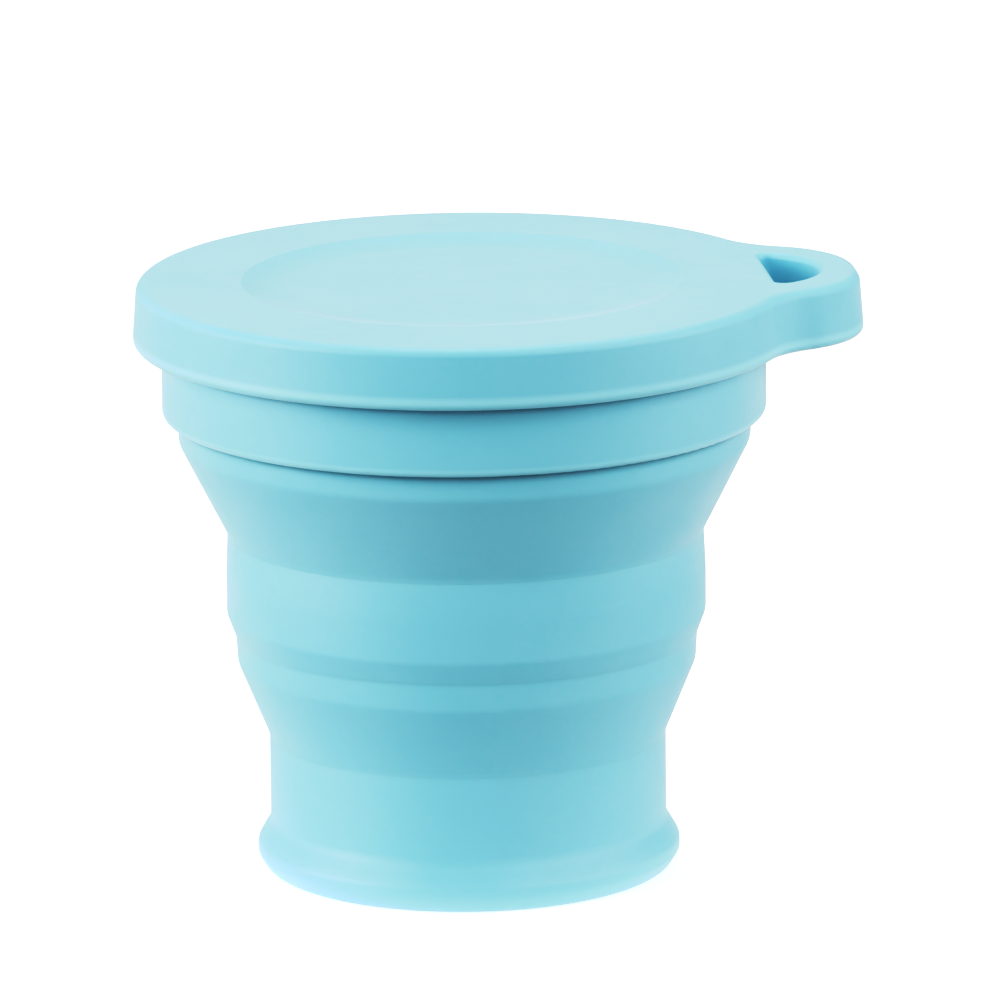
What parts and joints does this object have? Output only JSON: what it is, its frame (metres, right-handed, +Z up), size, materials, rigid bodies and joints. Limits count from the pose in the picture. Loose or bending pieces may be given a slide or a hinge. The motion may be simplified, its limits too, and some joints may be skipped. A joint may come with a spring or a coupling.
{
  "type": "collapsible travel cup",
  "caption": "Folding silicone travel cup with a press-on lid and hang loop; its tiers push down into a flat stack inside the rim collar.",
  "frame": {"origin": "centre of the foot's resting face, on the cup's axis", "axes": "+Z up along the cup's axis, +X towards the lid's hang loop, +Y completes the right-handed frame"},
  "size_m": [0.0972, 0.0878, 0.08],
  "materials": {
    "silicone_body": "matte food-grade silicone, pale aqua",
    "collar_plastic": "fine matte moulded plastic, pale aqua",
    "silicone_lid": "matte food-grade silicone, pale aqua"
  },
  "bodies": {
    "base": {"base_cup": "silicone_body", "lower_fold_web": "silicone_body"},
    "middle": {"middle_band": "silicone_body", "upper_fold_web": "silicone_body"},
    "rim": {"mouth_cuff": "silicone_body", "rim_collar": "collar_plastic"},
    "cover": {"lid": "silicone_lid"}
  },
  "joints": [
    {"name": "lower_fold", "type": "slide", "parent": "base", "child": "middle", "axis": [0, 0, 1], "range_m": [-0.027, 0], "deforming": ["lower_fold_web"]},
    {"name": "upper_fold", "type": "slide", "parent": "middle", "child": "rim", "axis": [0, 0, 1], "range_m": [-0.03, 0], "deforming": ["upper_fold_web"]},
    {"name": "lid_lift", "type": "slide", "parent": "rim", "child": "cover", "axis": [0, 0, 1], "range_m": [0, 0.018]}
  ]
}
